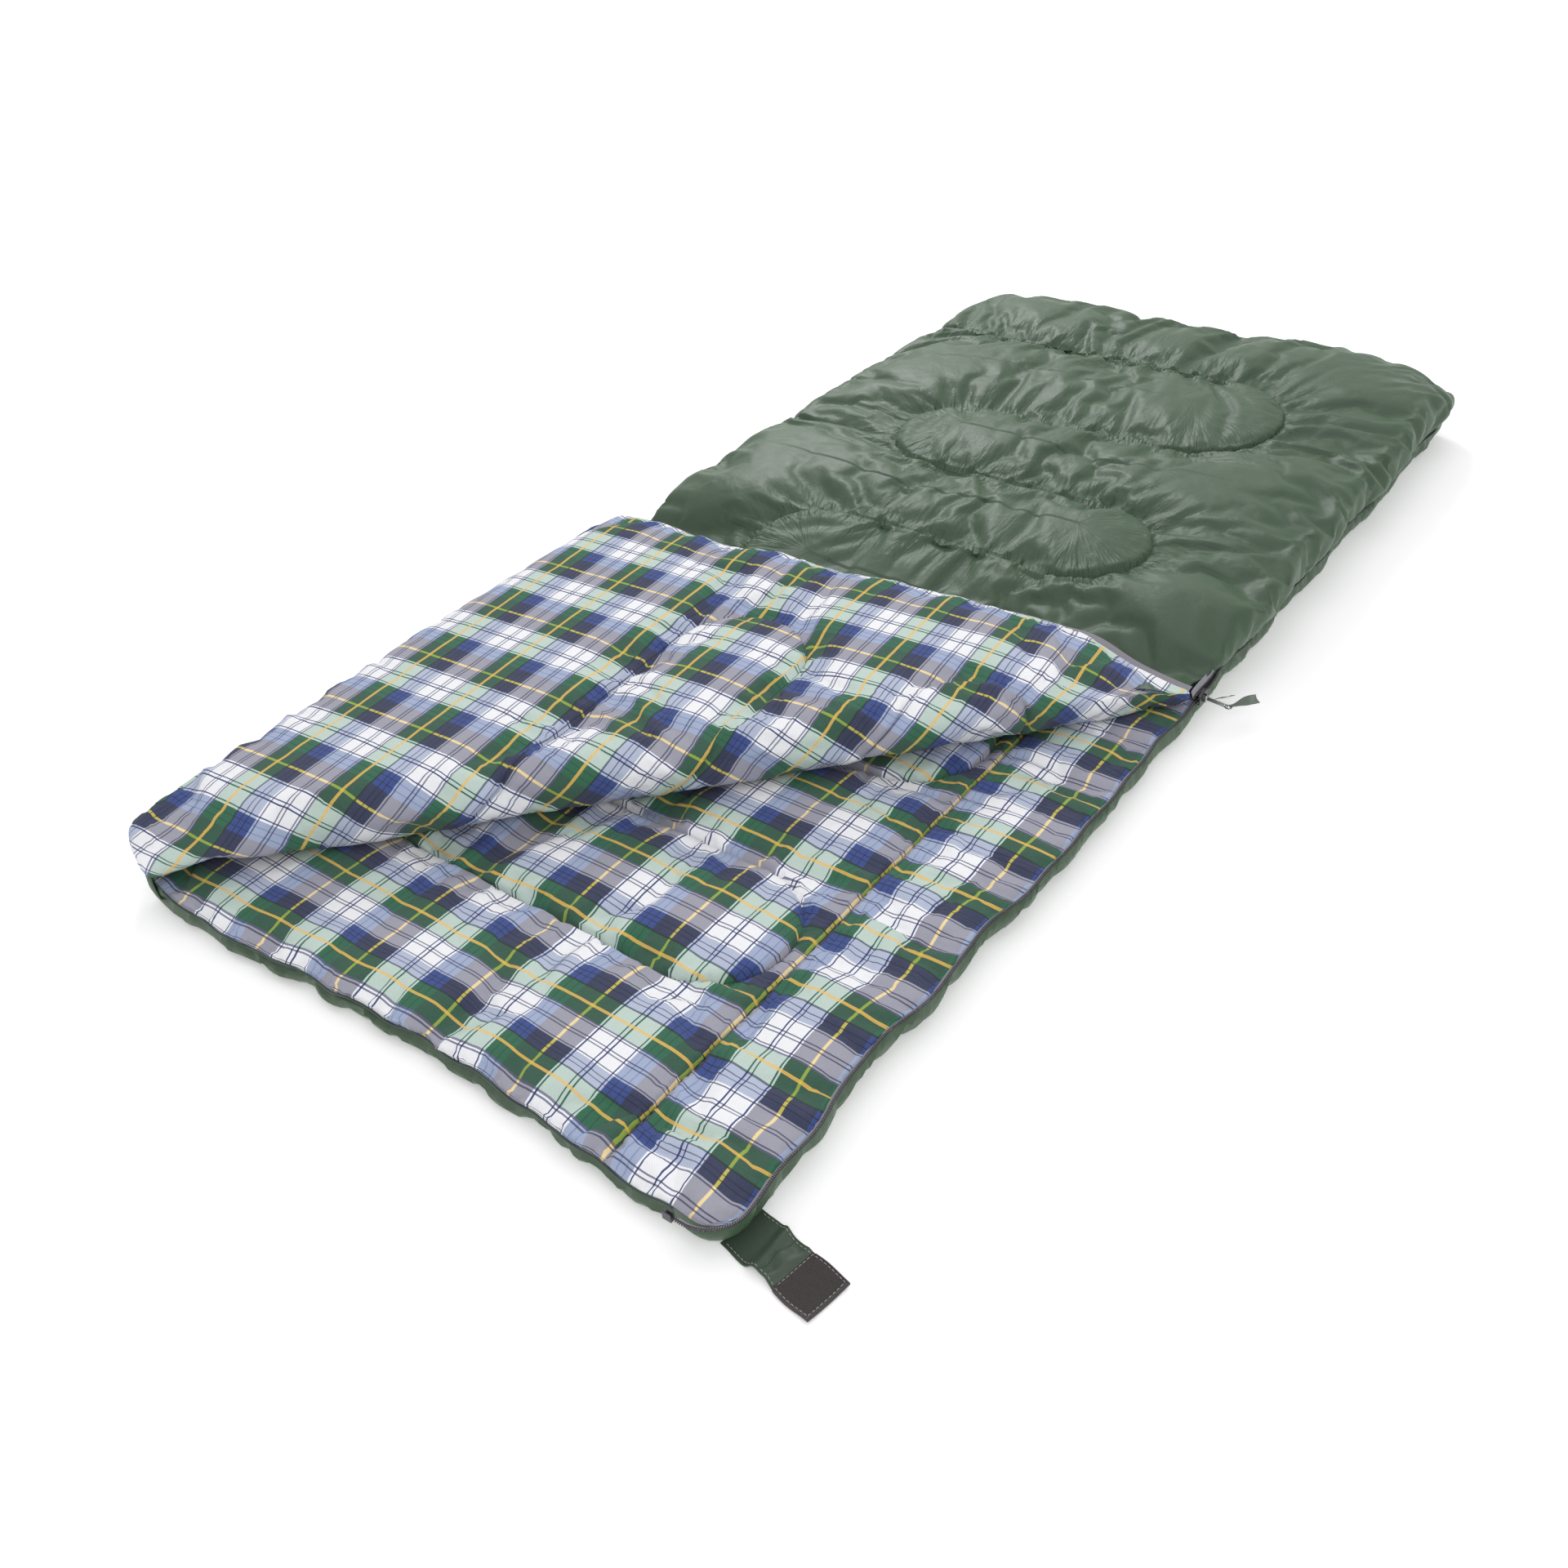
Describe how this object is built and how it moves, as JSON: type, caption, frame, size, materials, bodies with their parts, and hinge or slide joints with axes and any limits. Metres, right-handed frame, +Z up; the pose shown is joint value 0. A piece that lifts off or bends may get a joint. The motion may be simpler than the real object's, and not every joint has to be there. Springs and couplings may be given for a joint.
{
  "type": "rectangular sleeping bag",
  "caption": "Rectangular quilted sleeping bag, plaid lining, zip along one side and the foot, top layer folded back along a diagonal at the head end, with a slider and a keeper strap.",
  "frame": {"origin": "on the underside, mid-width and mid-length of the bag, where it rests on the floor", "axes": "+X across the bag to the zip side, +Y along the bag to the foot end, +Z up"},
  "size_m": [1.0098, 1.919, 0.124],
  "materials": {
    "shell_cloth": "satin woven nylon",
    "filling": "soft fibre",
    "plaid_lining": "brushed flannel, checked",
    "thread": "spun thread",
    "zip_tape": "woven tape",
    "zip_coil": "moulded nylon",
    "zip_metal": "polished die cast",
    "dark_metal": "dark coated wire",
    "pull_ribbon": "grosgrain",
    "strap_cloth": "satin woven nylon, doubled",
    "hook_patch": "hook tape",
    "loop_patch": "loop tape"
  },
  "bodies": {
    "bag": {"bottom_shell": "shell_cloth", "bottom_fill": "filling", "bottom_lining": "plaid_lining", "bottom_lining_strip": "plaid_lining", "lining_seam_thread": "thread", "bottom_quilting": "thread", "side_fold_shell": "shell_cloth", "top_shell": "shell_cloth", "top_fill": "filling", "top_lining": "plaid_lining", "top_quilting": "thread", "fold_lining": "plaid_lining", "fold_fill": "filling", "fold_shell": "shell_cloth", "bottom_zip_tape": "zip_tape", "bottom_zip_coil": "zip_coil", "top_zip_tape": "zip_tape", "top_zip_coil": "zip_coil", "zip_retainer_box": "zip_coil", "zip_end_stop": "zip_metal", "strap_sewn_end": "strap_cloth"},
    "flap": {"flap_shell": "shell_cloth", "flap_fill": "filling", "flap_lining": "plaid_lining", "flap_quilting": "thread", "flap_zip_tape": "zip_tape", "flap_zip_coil": "zip_coil", "zip_insert_pin": "zip_coil", "loop_patch": "loop_patch"},
    "slider": {"zip_slider": "zip_metal"},
    "tab": {"pull_tab": "zip_metal"},
    "ring": {"pull_ring": "dark_metal"},
    "ribbon": {"pull_ribbon": "pull_ribbon"},
    "strap": {"strap_root": "strap_cloth"},
    "strap_end": {"strap_tip": "strap_cloth", "hook_patch": "hook_patch"}
  },
  "joints": [
    {"name": "flap_fold", "type": "hinge", "parent": "bag", "child": "flap", "pos_m": [-0.419, -0.9375, 0.083], "axis": [0.6814, 0.7319, 0], "range_deg": [0, 180], "deforming": ["fold_lining", "fold_fill", "fold_shell"]},
    {"name": "slider_slide", "type": "slide", "parent": "bag", "child": "slider", "axis": [0, 1, 0], "range_m": [-0.83, 0.89]},
    {"name": "tab_swing", "type": "hinge", "parent": "slider", "child": "tab", "pos_m": [0.4304, -0.0175, 0.041], "axis": [0, 0, 1], "range_deg": [-75, 20]},
    {"name": "ring_swing", "type": "hinge", "parent": "tab", "child": "ring", "pos_m": [0.45664, -0.02119, 0.041], "axis": [-0.1392, -0.9903, 0], "range_deg": [-35, 35]},
    {"name": "ribbon_swing", "type": "hinge", "parent": "ring", "child": "ribbon", "pos_m": [0.46248, -0.01821, 0.041], "axis": [0.8829, -0.4695, 0], "range_deg": [-25, 60]},
    {"name": "strap_lift", "type": "hinge", "parent": "bag", "child": "strap", "pos_m": [0.43, -0.9145, 0.0016], "axis": [-0.1736, -0.9848, 0], "range_deg": [0, 60]},
    {"name": "strap_crease", "type": "hinge", "parent": "strap", "child": "strap_end", "pos_m": [0.47067, -0.92167, 0.0016], "axis": [-0.1736, -0.9848, 0], "range_deg": [0, 60]}
  ]
}
